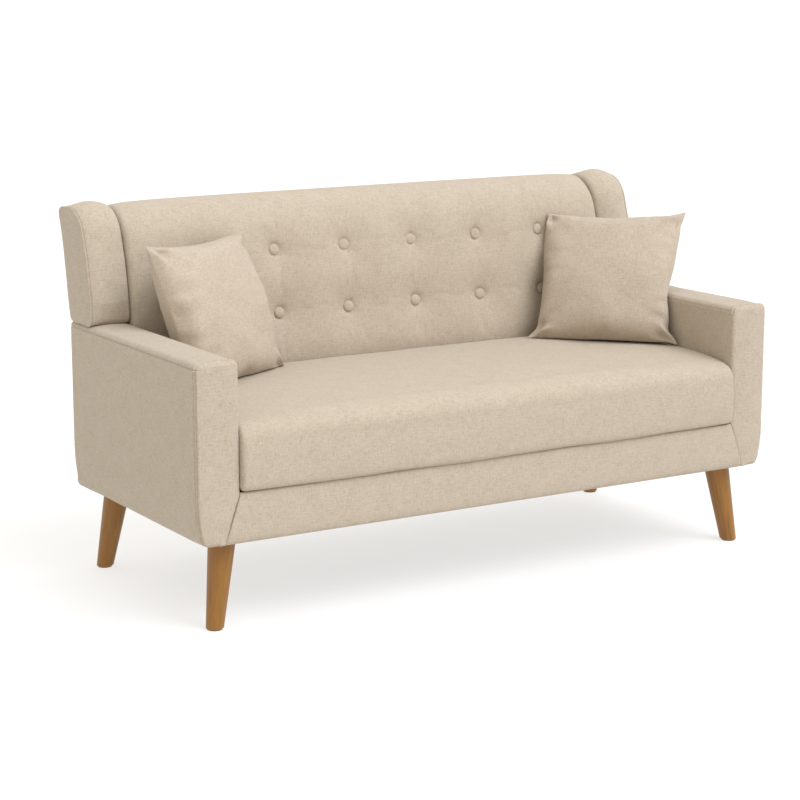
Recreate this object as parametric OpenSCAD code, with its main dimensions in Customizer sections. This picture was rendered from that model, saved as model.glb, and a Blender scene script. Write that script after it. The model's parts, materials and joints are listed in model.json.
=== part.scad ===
// Two-seat upholstered sofa with a button-tufted wing back, square arms, tapered wooden
// legs and two loose throw pillows. Millimetres. +X is the sitter's left, seen from in
// front as right, +Y is the rear and +Z is up. The origin is on the floor, under the
// middle of the overall width and depth. "left" and "right" are as seen from in front.

/* [Body] */
// Overall width, across the two arms
overall_w = 1500; // [1460:10:1560]
// Height of the arms at their top
arm_h = 578; // [570:1:590]
// Width of one arm
arm_w = 98; // [96:1:102]
// Depth of the arms and base, front face to rear face
body_d = 645; // [640:5:660]
// Height of the body's underside above the floor
base_z = 190; // [180:5:200]

/* [Seat] */
// Height of the seam between the seat and the front band
seam_z = 300; // [298:1:302]
// Height of the seat's top
seat_h = 460; // [455:1:465]
// Depth of the seat, from the arms' front face to the foot of the back
seat_d = 495; // [490:1:500]
// How far the seat's front stands proud of the arms
seat_nose = 12; // [8:1:16]

/* [Back] */
// Height of the tufted back's top
back_h = 843; // [835:1:850]
// Height of the wings' top
wing_h = 848; // [838:1:855]
// Lean of the back's front face from upright, in degrees
back_lean = 9.2; // [8.8:0.1:9.6]
// Number of button columns
button_cols = 6; // [4:1:6]
// Spacing of the button columns
button_pitch = 186; // [180:1:190]
// Diameter of a covered button
button_dia = 24; // [20:1:28]

/* [Legs] */
// Diameter of a leg at its top
leg_top_dia = 60; // [54:1:60]
// Diameter of a leg at its foot
leg_foot_dia = 38; // [34:1:42]
// Sideways splay of a leg from top to foot
leg_splay_x = 30; // [20:1:32]
// Fore-and-aft splay of a leg from top to foot
leg_splay_y = 19; // [10:1:22]

/* [Pillows] */
// Side of a pillow, corner to corner
pillow_side = 340; // [320:5:345]
// Thickness of a pillow at its middle
pillow_t = 112; // [90:2:116]

/* [Hidden] */
$fn = 48;
eps = 1;                 // overshoot of a cut past the face it opens
gap = 2;                 // clearance between neighbouring upholstered units
fit = 0.1;               // radial clearance of a bolt in its bore
skin = 4;                // cover fabric with its wadding
pad = 6;                 // thin foam on an arm's faces
board = 4;               // hardboard panels of the arms
front_pad = 12;          // padding and cover over the front of base and arms
panel = 5;               // outside back fabric on its stiffener

half_w = overall_w / 2;
arm_in = half_w - arm_w; // inner face of an arm
rear_rise = 0.215;       // rearward run of the back's rear face per unit of height
rear_knee = 569;         // height at which the rear face starts to lean
rear_top_y = body_d + (back_h - 23 - rear_knee) * rear_rise;
overall_d = seat_nose + rear_top_y;
front_y = seat_nose - overall_d / 2; // row-frame Y of the arms' front face

/* Base frame */
rail_bottom = base_z + 2;
rail_top = rail_bottom + 90;
cross_t = 22;            // front and rear rails
side_t = 30;             // side rails
side_out = half_w - 44;  // outer face of a side rail
side_in = side_out - side_t;
front_rail_y = front_pad;
rear_rail_y = body_d - 8 - cross_t;
block = 90;              // corner block side
block_h = 45;
inner_y0 = front_rail_y + cross_t;
inner_y1 = rear_rail_y;

/* Legs */
leg_x = half_w - 86;     // leg axis at its top
leg_y = [66, body_d - 50];
glide_h = 2;
bolt_r = 4;

/* Arms */
frame_in = arm_in + skin + pad + board;
frame_out = half_w - skin - pad - board;
arm_frame_top = arm_h - skin - 10;
arm_rail_t = 22;
arm_post_d = 30;
arm_rear_y = body_d - 8;
corner_r = 12;
foot_power = 4.2;        // squareness of an arm's lower outer corner

/* Back */
back_half = arm_in - gap;      // half width of the tufted back
back_foot = 456;               // height at which the back's front face starts to lean
post_t = 28;
web_plane = 62;                // foam depth behind the back's front face
web_t = 1.5;
relief = 0.05;                 // clearance between parts that lie against each other
button_rows = [119, 266];      // distance of each row up the back's front face
button_sink = 6;               // depth of the dimple that a button sits in

// Points of a circular arc from angle a0 to a1
function arc(c, r, a0, a1, n = 6) =
    [for (i = [0:n]) let (a = a0 + (a1 - a0) * i / n) [c[0] + r * cos(a), c[1] + r * sin(a)]];

// Points of a quarter of a superellipse from angle a0 to a1, with half axes r and power p
function bulge(c, r, p, a0, a1, n = 10) =
    [for (i = [0:n]) let (a = a0 + (a1 - a0) * i / n)
        [c[0] + r[0] * sign(cos(a)) * pow(abs(cos(a)), 2 / p),
         c[1] + r[1] * sign(sin(a)) * pow(abs(sin(a)), 2 / p)]];

// Depth of the back's front face at height z
function front_face(z) = seat_d + gap + (z - back_foot) * tan(back_lean);

// Depth of the rear face at height z
function rear_face(z) = body_d + max(0, z - rear_knee) * rear_rise;

// Depth of the webbing's front and rear planes at height z
function web_face(z) = front_face(z) + web_plane / cos(back_lean);
function web_back(z) = web_face(z) + web_t / cos(back_lean) + relief;

module placed() translate([0, front_y, 0]) children();

// Draws for the right, or mirrored for the left
module on_side(s) {
    if (s > 0) children();
    else mirror([1, 0, 0]) children();
}

// Extrudes a (Y, Z) outline along X
module along_x(x0, x1) translate([x0, 0, 0]) rotate([90, 0, 90]) linear_extrude(x1 - x0) children();

// Extrudes an (X, Z) outline along Y
module along_y(y0, y1) translate([0, y1, 0]) rotate([90, 0, 0]) linear_extrude(y1 - y0) children();

module box(x, y, z) translate([x[0], y[0], z[0]]) cube([x[1] - x[0], y[1] - y[0], z[1] - z[0]]);

module rod_x(x0, x1, r) translate([x0, 0, 0]) rotate([0, 90, 0]) cylinder(h = x1 - x0, r = r);

module rod_y(y0, y1, r) translate([0, y0, 0]) rotate([-90, 0, 0]) cylinder(h = y1 - y0, r = r);

// Frame that leans with the back: Y runs into the back, Z up its front face
module leaned() translate([0, seat_d + gap, back_foot]) rotate([-back_lean, 0, 0]) children();

module at_legs() for (s = [-1, 1], y = leg_y) translate([s * leg_x, y, 0]) children();

module at_buttons()
    for (i = [0:button_cols - 1], row = button_rows)
        leaned() translate([(i - (button_cols - 1) / 2) * button_pitch, 0, row]) children();

/* ---- Base frame ---- */

module cross_rail(y) difference() {
    box([-side_out, side_out], [y, y + cross_t], [rail_bottom, rail_top]);
    block_screws(fit);
    back_screw_shanks(fit);
}

module side_rail(s) on_side(s) difference() {
    box([side_in, side_out], [inner_y0, inner_y1], [rail_bottom, rail_top]);
    block_screws(fit);
    arm_bolt_shanks(fit);
}

module centre_rail()
    box([-15, 15], [inner_y0, post_y], [rail_bottom + 8, rail_top - 24]);

// Position of the corner block's outer corner, and the way it faces
module at_corners()
    for (s = [-1, 1], f = [0, 1])
        translate([s * side_in, f == 0 ? inner_y0 : inner_y1, rail_bottom])
            mirror([s > 0 ? 1 : 0, 0, 0]) mirror([0, f, 0]) children();

module corner_block_shape() linear_extrude(block_h)
    polygon([[0, 0], [block, 0], [block, block / 2], [block / 2, block], [0, block]]);

module corner_blocks() difference() {
    at_corners() corner_block_shape();
    at_legs() translate([0, 0, rail_bottom - eps]) cylinder(h = block_h + 2 * eps, r = bolt_r + 0.4);
    at_legs() translate([0, 0, rail_bottom + block_h - 12]) cylinder(h = 12 + eps, r = 5.2);
    block_screws(fit);
}

// Screws that run from the rails' outer faces into each corner block
module block_screws(grow) at_corners() {
    for (z = [12, 32]) {
        translate([62, 0, z]) rod_y(-cross_t, 30, 2.5 + grow);
        translate([0, 68, z]) rod_x(-side_t, 30, 2.5 + grow);
    }
}

module tee_nuts() at_legs() translate([0, 0, rail_bottom + block_h]) difference() {
    union() {
        translate([0, 0, -12]) cylinder(h = 12, r = 5.1);
        cylinder(h = 1.5, r = 10);
    }
    translate([0, 0, -12 - eps]) cylinder(h = 14 + 2 * eps, r = bolt_r + 0.05);
}

/* ---- Legs ---- */

// A round taper that splays outward, sawn level at both ends
module leg(s, f) {
    y = leg_y[f];
    dir = f == 0 ? -1 : 1;
    tilt = atan(norm([leg_splay_x, leg_splay_y]) / rail_bottom);
    heading = atan2(dir * leg_splay_y, s * leg_splay_x);
    foot = [s * (leg_x + leg_splay_x), y + dir * leg_splay_y, 0];
    run = rail_bottom / cos(tilt);
    over = 20; // extra length past each level cut
    slope = (leg_top_dia - leg_foot_dia) / 2 / run;
    difference() {
        intersection() {
            translate(foot) rotate([0, 0, heading]) rotate([0, -tilt, 0]) translate([0, 0, -over])
                cylinder(h = run + 2 * over, r1 = leg_foot_dia / 2 - over * slope,
                         r2 = leg_top_dia / 2 + over * slope);
            translate([0, 0, glide_h]) linear_extrude(rail_bottom - glide_h)
                translate([foot[0], foot[1]]) square(200, center = true);
        }
        translate([s * leg_x, y, rail_bottom - 45]) cylinder(h = 45 + eps, r = bolt_r);
        translate([foot[0], foot[1], 0]) glide();
        translate([foot[0], foot[1], glide_h]) rotate_extrude()
            polygon([[leg_foot_dia / 2 - 2, -eps], [leg_foot_dia / 2 + 6, -eps],
                     [leg_foot_dia / 2 + 6, 7], [leg_foot_dia / 2 - 2, 0]]);
    }
}

module hanger_bolts() at_legs()
    translate([0, 0, rail_bottom - 45]) cylinder(h = 45 + block_h, r = bolt_r);

// Nail-on plastic glide under a foot
module glide() {
    cylinder(h = glide_h, r = leg_foot_dia / 2 - 3);
    cylinder(h = glide_h + 14, r = 1.2);
}

module leg_glides() for (s = [-1, 1], f = [0, 1])
    translate([s * (leg_x + leg_splay_x), leg_y[f] + (f == 0 ? -1 : 1) * leg_splay_y, 0]) glide();

/* ---- Seat suspension ---- */

spring_x = [for (i = [0:9]) (i - 4.5) * 120];
wire_r = 2;
wire_z = rail_top + 5;
loop_w = 44;             // straight run between two bends
spring_y0 = front_rail_y + cross_t / 2;
spring_y1 = rear_rail_y + cross_t / 2;
loops = 20;              // bends in one spring
spring_pitch = (spring_y1 - spring_y0) / loops;

// Zig-zag spring wire, lying flat from the front rail to the rear rail
module zigzag_spring() {
    for (i = [0:loops])
        translate([0, spring_y0 + i * spring_pitch, wire_z]) rod_x(-loop_w / 2, loop_w / 2, wire_r);
    for (i = [0:loops - 1]) {
        s = i % 2 == 0 ? 1 : -1;
        translate([s * loop_w / 2, spring_y0 + (i + 0.5) * spring_pitch, wire_z])
            rotate([0, 0, s > 0 ? -90 : 90]) rotate_extrude(angle = 180)
                translate([spring_pitch / 2, 0]) circle(r = wire_r);
    }
}

module seat_springs() for (x = spring_x) translate([x, 0, 0]) zigzag_spring();

// Steel clip nailed to a rail, curled over the end of a spring
module spring_clip() difference() {
    translate([-9, -8, 0]) cube([18, 16, 9]);
    translate([0, 0, 5]) rod_x(-10, 10, wire_r + fit);
    translate([-10, -9, 3]) cube([20, 9, 1.2]);
}

module spring_clips() for (x = spring_x) {
    translate([x, spring_y0, rail_top]) spring_clip();
    translate([x, spring_y1, rail_top]) mirror([0, 1, 0]) spring_clip();
}

module spring_insulator() box([-600, 600], [front_rail_y + 2, 570], [rail_top + 10, seam_z]);

/* ---- Seat ---- */

// Seat outline in (Y, Z), inset by k, with a soft roll along the front
function seat_outline(k) = concat(
    [[seat_d - k, seam_z - (k > 0 ? eps : 0)], [4 + k, seam_z - (k > 0 ? eps : 0)]],
    arc([4 + k, seam_z + 16], 16, -90, -180, 4),
    bulge([130 - seat_nose, 395], [130 - k, seat_h - 395 - k], 3, 180, 90),
    [[seat_d - k, seat_h - k]]);

module seat_cover() difference() {
    along_x(-back_half, back_half) polygon(seat_outline(0));
    along_x(-back_half + skin, back_half - skin) polygon(seat_outline(skin));
}

module seat_foam() along_x(-back_half + skin, back_half - skin) intersection() {
    polygon(seat_outline(skin));
    translate([-50, seam_z]) square([seat_d + 100, 200]);
}

// Upholstered band across the front of the base
module front_band() along_y(0, front_pad)
    polygon([[-arm_in - 38, base_z], [arm_in + 38, base_z], [arm_in, seam_z], [-arm_in, seam_z]]);

module dust_cover() difference() {
    box([-side_out, side_out], [front_pad + eps, body_d - 9], [base_z + 0.8, rail_bottom]);
    at_legs() translate([0, 0, base_z - eps]) cylinder(h = 5, r = leg_top_dia / 2 + 3);
}

/* ---- Arms ---- */

// Arm outline in (X, Z): square top corners, a slanted inner foot and a softly tapered outer foot
function arm_outline() = concat(
    [[arm_in + 38, base_z], [arm_in, seam_z]],
    arc([arm_in + corner_r, arm_h - corner_r], corner_r, 180, 90),
    arc([half_w - corner_r, arm_h - corner_r], corner_r, 90, 0),
    bulge([half_w - 40, base_z + 85], [40, 85], foot_power, 0, -90));

// Inside of the arm's cover, open below and toward the base
function arm_cavity() = concat(
    [[arm_in - 30, base_z - eps], [arm_in - 30, seam_z - 4], [arm_in + skin, seam_z - 4]],
    arc([arm_in + corner_r, arm_h - corner_r], corner_r - skin, 180, 90),
    arc([half_w - corner_r, arm_h - corner_r], corner_r - skin, 90, 0),
    bulge([half_w - 40, base_z + 85], [40 - skin, 85 - skin], foot_power, 0, -90),
    [[half_w - 40, base_z - eps]]);

module arm_cover(s) on_side(s) difference() {
    along_y(0, body_d) polygon(arm_outline());
    along_y(front_pad, arm_rear_y) polygon(arm_cavity());
    side_bolt_shanks(fit);
}

// Thin foam over the inner, outer and top faces of the arm's frame
module arm_pad(s) on_side(s) difference() {
    along_y(front_pad, arm_rear_y) intersection() {
        polygon(arm_cavity());
        translate([arm_in, rail_top]) square([arm_w, arm_h]);
    }
    box([arm_in - 40, frame_out + board], [0, body_d], [0, seam_z]);
    box([frame_in - board, frame_out + board], [0, body_d], [0, arm_frame_top]);
    side_bolt_shanks(fit);
}

module arm_posts(s) on_side(s) for (y = [front_pad, arm_rear_y - arm_post_d]) difference() {
    box([frame_in, frame_out], [y, y + arm_post_d], [rail_top, arm_frame_top - arm_rail_t]);
    side_bolt_shanks(fit);
}

module arm_rails(s) on_side(s) difference() {
    union() {
        box([frame_in, frame_out], [front_pad, arm_rear_y], [arm_frame_top - arm_rail_t, arm_frame_top]);
        box([frame_in, frame_out], [front_pad + arm_post_d, arm_rear_y - arm_post_d],
            [rail_top, rail_top + arm_rail_t]);
    }
    arm_bolt_shanks(fit);
}

module arm_board(s, x) on_side(s) difference() {
    box([x, x + board], [front_pad, arm_rear_y], [rail_top, arm_frame_top]);
    side_bolt_shanks(fit);
}

// Bolts that hold each arm down on the base's side rail
arm_bolt_y = [140, 500];
arm_bolt_len = 62;

module arm_bolt_shanks(grow) for (s = [-1, 1], y = arm_bolt_y)
    translate([s * (side_in + side_out) / 2, y, rail_top + arm_rail_t - arm_bolt_len])
        cylinder(h = arm_bolt_len + 2, r = bolt_r + grow);

module arm_bolts() {
    arm_bolt_shanks(0);
    for (s = [-1, 1], y = arm_bolt_y)
        translate([s * (side_in + side_out) / 2, y, rail_top + arm_rail_t + 1.6])
            cylinder(h = 5.3, r = 7.5, $fn = 6);
}

module arm_bolt_washers() for (s = [-1, 1], y = arm_bolt_y)
    translate([s * (side_in + side_out) / 2, y, rail_top + arm_rail_t]) difference() {
        cylinder(h = 1.6, r = 10);
        translate([0, 0, -eps]) cylinder(h = 4, r = bolt_r + fit);
    }

/* ---- Back ---- */

roll_z = 731;            // height at which the front face starts to roll over to the top

// Rounded corner between the top and the rear face, inset by k and never sharper than 2 mm
function rear_corner(k) = let (r = max(14 - k, 2), shift = 14 - k - r)
    arc([rear_top_y - 14 + shift, back_h - 28 + shift], r, 75, 0);

// Outline of a wing in (Y, Z), inset by k, from its foot at z0 to its top
function wing_outline(k, z0, top) = concat(
    [[rear_face(z0) - k, z0], [front_face(z0) + k, z0]],
    bulge([650, roll_z], [650 - front_face(roll_z) - k, top - roll_z - k], 2.1, 180, 90),
    rear_corner(k));

// Outline of the tufted back, which stands on the base behind the seat
function back_outline(k) = concat(
    [[rear_face(0) - k, seam_z], [seat_d + gap + k, seam_z], [seat_d + gap + k, back_foot]],
    bulge([645, roll_z], [645 - front_face(roll_z) - k, back_h - roll_z - k], 1.9, 180, 90),
    rear_corner(k),
    [[rear_face(rear_knee) - k, rear_knee]]);

post_top = 770;
side_foot = rail_bottom + block_h + 2; // the side posts stand over the corner blocks

post_y = 575;            // front edge of a post's foot
side_post_x = back_half - skin - post_t; // inner face of a side post

// Sawn back post: upright against the base's rear rail, then leaning with the back
module post(x, foot) difference() {
    along_x(x, x + post_t) polygon([
        [post_y, foot], [rear_rail_y, foot], [rear_rail_y, rail_top],
        [body_d - panel - relief, rail_top], [body_d - panel - relief, rear_knee],
        [rear_face(post_top) - panel - relief, post_top],
        [web_back(post_top), post_top], [web_back(460), 460], [post_y, 430]]);
    side_bolt_shanks(fit);
    mirror([1, 0, 0]) side_bolt_shanks(fit);
    back_screw_shanks(fit);
}

module back_top_rail() along_x(skin - back_half, back_half - skin) polygon([
    [web_back(post_top), post_top], [rear_face(post_top) - panel - relief, post_top],
    [rear_face(post_top) - panel - relief, 800], [web_back(800), 800]]);

module back_lower_rails() for (s = [-1, 1]) on_side(s)
    along_x(post_t / 2, back_half - skin - post_t) polygon([
        [web_back(440), 440], [web_back(440) + 24, 440],
        [web_back(500) + 24, 500], [web_back(500), 500]]);

back_screw_z = rail_top - 14;

// Lag screws that fix the posts to the base's rear rail
module back_screw_shanks(grow) for (x = [-1, 0, 1])
    translate([x * (back_half - skin - post_t / 2), 0, back_screw_z])
        rod_y(post_y - 2, rear_rail_y + cross_t - 4, bolt_r + grow);

module back_screws() {
    back_screw_shanks(0);
    for (x = [-1, 0, 1])
        translate([x * (back_half - skin - post_t / 2), post_y - 5.5, back_screw_z])
            rotate([-90, 0, 0]) cylinder(h = 5.5, r = 7.5, $fn = 6);
}

// Depth, height, end and radius of the bolts through each back post, into the arm and the wing
side_bolt_at = [[622, 400, 44, 4], [622, 520, 44, 4], [628, 650, 24, 3], [645, 740, 24, 3]];

module side_bolt_shanks(grow) for (b = side_bolt_at)
    translate([0, b[0], b[1]]) rod_x(back_half - skin - post_t - 2, arm_in + b[2], b[3] + grow);

module side_bolts() for (s = [-1, 1]) on_side(s) {
    side_bolt_shanks(0);
    for (b = side_bolt_at)
        translate([back_half - skin - post_t - 6, b[0], b[1]]) rotate([0, 90, 0])
            cylinder(h = 6, r = b[3] + 3.5, $fn = 6);
}

// Elastic straps behind the foam, one for each column of buttons
module back_webbing() for (i = [0:button_cols - 1]) difference() {
    leaned() translate([(i - (button_cols - 1) / 2) * button_pitch - 25, web_plane, 4])
        cube([50, web_t, 336]);
    at_buttons() rod_y(0, 90, 1.6);
}

module back_foam() difference() {
    along_x(skin - back_half, back_half - skin) difference() {
        polygon(back_outline(skin + relief));
        polygon([[web_face(seam_z - 1) - relief, seam_z - 1], [web_face(802) - relief, 802], [900, 802],
                 [900, seam_z - 1]]);
    }
    at_buttons() rod_y(-20, 90, 1.6);
    dimples(skin + relief, skin + relief);
}

module back_cover() difference() {
    union() {
        difference() {
            along_x(-back_half, back_half) polygon(back_outline(0));
            along_x(skin - back_half, back_half - skin) {
                polygon(back_outline(skin));
                translate([seat_d + gap + skin, seam_z - eps])
                    square([body_d - seat_d - gap - 2 * skin, 40]);
                polygon([[body_d - panel - 1, seam_z - eps], [body_d - panel - 1, rear_knee],
                         [660, 800], [760, 800], [760, seam_z - eps]]);
            }
        }
        intersection() {
            dimples(skin, skin);
            along_x(-back_half, back_half) polygon(back_outline(0));
        }
    }
    dimples(0, 0);
    side_bolt_shanks(fit);
    mirror([1, 0, 0]) side_bolt_shanks(fit);
    at_buttons() rod_y(-20, 20, 1.6);
}

// Fabric over a stiff panel, closing the rear of base and back
module outside_back_panel() {
    along_x(skin - back_half, back_half - skin) polygon([
        [body_d - panel, seam_z], [body_d, seam_z], [body_d, rear_knee],
        [rear_face(800), 800], [rear_face(800) - panel, 800], [body_d - panel, rear_knee]]);
    along_y(body_d - panel, body_d)
        polygon([[-arm_in - 38, base_z], [arm_in + 38, base_z], [arm_in, seam_z], [-arm_in, seam_z]]);
}

// Conical dimple round a button, widened by k and deepened by d
module dimples(k, d) at_buttons() translate([0, -eps, 0]) rotate([-90, 0, 0])
    cylinder(h = button_sink + d + eps, r1 = button_dia / 2 + 12 + k, r2 = button_dia / 2 + 1 + k);

// Fabric-covered button: a shallow dome on a rim
module tufting_buttons() at_buttons() translate([0, button_sink, 0]) rotate([90, 0, 0]) rotate_extrude()
    polygon(concat([[0, 0], [button_dia / 2 - 1, 0]],
                   bulge([0, 1], [button_dia / 2, 6], 2.4, 0, 90, 8)));

module button_ties() at_buttons() rod_y(button_sink, web_plane + 5, 1.2);

module tie_toggles() at_buttons() difference() {
    translate([0, web_plane + 5, 0]) rod_x(-11, 11, 3);
    rod_y(web_plane - 10, web_plane + 5, 1.2);
}

/* ---- Wings ---- */

wing_z0 = arm_h + 1;
wing_board_t = 18;

module wing_cover(s) on_side(s) difference() {
    along_x(arm_in, half_w) polygon(wing_outline(0, wing_z0, wing_h));
    along_x(arm_in + skin, half_w - skin) polygon(wing_outline(skin, wing_z0 + skin, wing_h));
    side_bolt_shanks(fit);
}

// Plywood cheek bolted to the side of the back post
module wing_board(s) on_side(s) difference() {
    along_x(arm_in + skin, arm_in + skin + wing_board_t)
        polygon(wing_outline(skin + 12, wing_z0 + skin, wing_h));
    side_bolt_shanks(fit);
}

module wing_foam(s) on_side(s) difference() {
    along_x(arm_in + skin, half_w - skin) polygon(wing_outline(skin, wing_z0 + skin, wing_h));
    along_x(arm_in, arm_in + skin + wing_board_t)
        polygon(wing_outline(skin + 12, wing_z0 + skin - eps, wing_h));
    side_bolt_shanks(fit);
}

/* ---- Pillows ---- */

// Middle of each pillow, its turn about Z, backward tip and roll in its own plane, left then right
pillow_at = [[-492, 425, 616], [568, 378, 613]];
pillow_turn = [25, -45];
pillow_tip = [21, 28.5];
pillow_roll = [-2, 0.5];
pillow_cells = 12;       // faces along each side of the pillow's grid
pillow_wall = 3;
pillow_clear = 0.6;      // space left between a pillow and the sofa
waist = 0.09;            // how far a pillow's sides pull in between its corners

// Height of a pillow's face over its middle plane at (u, v), each from -1 to 1
function puff(u, v) = pow(max(0, (1 - pow(abs(u), 2.6)) * (1 - pow(abs(v), 2.6))), 0.55);

// In-plane position of a grid point
function pillow_xy(u, v, half) =
    [u * half * (1 - waist * (1 - v * v) * u * u), v * half * (1 - waist * (1 - u * u) * v * v)];

function split(quads) = [for (q = quads) for (h = [0, 1]) [q[0], q[1 + h], q[2 + h]]];

module pillow_form(side, thick) {
    n = pillow_cells;
    m = n + 1;
    grid = [for (face = [1, -1], j = [0:n], i = [0:n])
        let (u = 2 * i / n - 1, v = 2 * j / n - 1, p = pillow_xy(u, v, side / 2))
        [p[0], -face * (2 + (thick / 2 - 2) * puff(u, v)), p[1]]];
    top = [for (j = [0:n - 1], i = [0:n - 1]) let (a = j * m + i) [a, a + m, a + m + 1, a + 1]];
    low = [for (q = top) [m * m + q[3], m * m + q[2], m * m + q[1], m * m + q[0]]];
    edge = concat([for (i = [0:n - 1]) i], [for (j = [0:n - 1]) j * m + n],
                  [for (i = [0:n - 1]) n * m + n - i], [for (j = [0:n - 1]) (n - j) * m]);
    rim = [for (k = [0:len(edge) - 1]) let (a = edge[k], b = edge[(k + 1) % len(edge)])
        [a, b, b + m * m, a + m * m]];
    polyhedron(points = grid, faces = concat(split(top), split(low), split(rim)));
}

// A placed pillow, flattened where it would press into the seat, the back or an arm, with g to spare
module pillow_solid(i, side, thick, g) difference() {
    translate(pillow_at[i]) rotate([0, 0, pillow_turn[i]]) rotate([-pillow_tip[i], 0, 0])
        rotate([0, pillow_roll[i], 0]) pillow_form(side, thick);
    box([-half_w, half_w], [0, body_d], [seat_h - 60, seat_h + g]);
    along_x(-half_w, half_w) polygon(back_outline(-g));
    on_side(i == 0 ? -1 : 1) box([arm_in - g, half_w + 40], [-20, body_d], [seat_h - 60, arm_h + g]);
}

module pillow_cover(i) difference() {
    pillow_solid(i, pillow_side, pillow_t, pillow_clear);
    pillow_solid(i, pillow_side - 2 * pillow_wall, pillow_t - 2 * pillow_wall, pillow_clear + pillow_wall);
}

module pillow_fill(i)
    pillow_solid(i, pillow_side - 2 * pillow_wall - 10, pillow_t - 2 * pillow_wall - 4,
                 pillow_clear + pillow_wall + 0.5);

/* ---- Nodes ---- */

fabric = "#cdbfab";
foam = "#efe3b8";
timber = "#c9a878";
steel = "#9aa0a6";

placed() color(timber) cross_rail(front_rail_y);  // base_front_rail
placed() color(timber) cross_rail(rear_rail_y);  // base_rear_rail
placed() color(timber) side_rail(-1);  // base_side_rail_left
placed() color(timber) side_rail(1);  // base_side_rail_right
placed() color(timber) centre_rail();  // base_centre_rail
placed() color(timber) corner_blocks();
placed() color(steel) block_screws(0);  // corner_block_screws
placed() color(steel) tee_nuts();
placed() color("#96683a") leg(-1, 0);  // leg_front_left
placed() color("#96683a") leg(1, 0);  // leg_front_right
placed() color("#96683a") leg(-1, 1);  // leg_rear_left
placed() color("#96683a") leg(1, 1);  // leg_rear_right
placed() color(steel) hanger_bolts();
placed() color("#6f5233") leg_glides();
placed() color(steel) seat_springs();
placed() color(steel) spring_clips();
placed() color("#8f8b84") spring_insulator();
placed() color(foam) seat_foam();
placed() color(fabric) seat_cover();
placed() color(fabric) front_band();
placed() color("#2b2b2d") dust_cover();
placed() color(timber) arm_posts(-1);  // arm_posts_left
placed() color(timber) arm_posts(1);  // arm_posts_right
placed() color(timber) arm_rails(-1);  // arm_rails_left
placed() color(timber) arm_rails(1);  // arm_rails_right
placed() color(timber) arm_board(-1, frame_in - board);  // arm_inner_board_left
placed() color(timber) arm_board(1, frame_in - board);  // arm_inner_board_right
placed() color(timber) arm_board(-1, frame_out);  // arm_outer_board_left
placed() color(timber) arm_board(1, frame_out);  // arm_outer_board_right
placed() color(foam) arm_pad(-1);  // arm_pad_left
placed() color(foam) arm_pad(1);  // arm_pad_right
placed() color(fabric) arm_cover(-1);  // arm_cover_left
placed() color(fabric) arm_cover(1);  // arm_cover_right
placed() color(steel) arm_bolts();
placed() color(steel) arm_bolt_washers();
placed() color(steel) side_bolts();
placed() color(timber) post(-side_post_x - post_t, side_foot);  // back_post_left
placed() color(timber) post(side_post_x, side_foot);  // back_post_right
placed() color(timber) post(-post_t / 2, rail_bottom + 8);  // back_post_centre
placed() color(timber) back_top_rail();
placed() color(timber) back_lower_rails();
placed() color(steel) back_screws();
placed() color("#5b554c") back_webbing();
placed() color(foam) back_foam();
placed() color(fabric) back_cover();
placed() color(fabric) outside_back_panel();
placed() color(fabric) tufting_buttons();
placed() color("#8a8378") button_ties();
placed() color(timber) tie_toggles();
placed() color(timber) wing_board(-1);  // wing_board_left
placed() color(timber) wing_board(1);  // wing_board_right
placed() color(foam) wing_foam(-1);  // wing_foam_left
placed() color(foam) wing_foam(1);  // wing_foam_right
placed() color(fabric) wing_cover(-1);  // wing_cover_left
placed() color(fabric) wing_cover(1);  // wing_cover_right
placed() color(fabric) pillow_cover(0);  // pillow_cover_left
placed() color(fabric) pillow_cover(1);  // pillow_cover_right
placed() color("#f4f2ee") pillow_fill(0);  // pillow_fill_left
placed() color("#f4f2ee") pillow_fill(1);  // pillow_fill_right
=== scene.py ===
"""Two-seat tufted sofa on splayed wooden legs, with two loose throw pillows."""

import json
import math
from contextlib import contextmanager

import bmesh
import bpy
import numpy as np
from mathutils import Matrix, Vector, noise


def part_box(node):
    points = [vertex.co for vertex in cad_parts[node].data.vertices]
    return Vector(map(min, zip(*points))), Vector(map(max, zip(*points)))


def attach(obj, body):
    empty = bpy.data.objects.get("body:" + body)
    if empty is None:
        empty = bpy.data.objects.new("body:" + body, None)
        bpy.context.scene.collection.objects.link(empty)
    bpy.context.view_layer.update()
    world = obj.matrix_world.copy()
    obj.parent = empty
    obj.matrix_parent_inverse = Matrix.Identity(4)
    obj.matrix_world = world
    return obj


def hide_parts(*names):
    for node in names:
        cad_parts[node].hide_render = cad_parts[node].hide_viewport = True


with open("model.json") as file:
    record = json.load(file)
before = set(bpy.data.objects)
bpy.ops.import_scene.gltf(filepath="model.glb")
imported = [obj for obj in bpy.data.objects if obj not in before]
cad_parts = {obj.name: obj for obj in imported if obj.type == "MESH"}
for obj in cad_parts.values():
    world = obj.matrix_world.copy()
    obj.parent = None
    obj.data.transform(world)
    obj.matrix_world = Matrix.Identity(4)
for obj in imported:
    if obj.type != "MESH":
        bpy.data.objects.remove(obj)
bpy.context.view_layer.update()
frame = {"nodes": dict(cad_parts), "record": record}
MM = 0.001

# ---- places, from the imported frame

BODY_LOW, BODY_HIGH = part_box("arm_cover_right")
SEAT_LOW, SEAT_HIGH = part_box("seat_cover")
BUTTON_LOW, BUTTON_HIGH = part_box("tufting_buttons")

FRONT = BODY_LOW.y            # front plane of the arms
REAR = BODY_HIGH.y            # rear plane of the base
ARM_IN, ARM_OUT = BODY_LOW.x, BODY_HIGH.x
ARM_TOP = BODY_HIGH.z
BASE = BODY_LOW.z
SEAM = SEAT_LOW.z             # height of the seam between the seat and the front band
SEAT_TOP = SEAT_HIGH.z
HALF_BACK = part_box("back_cover")[1].x
BAND_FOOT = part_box("front_band")[1].x         # half width of the front band at its foot

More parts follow.
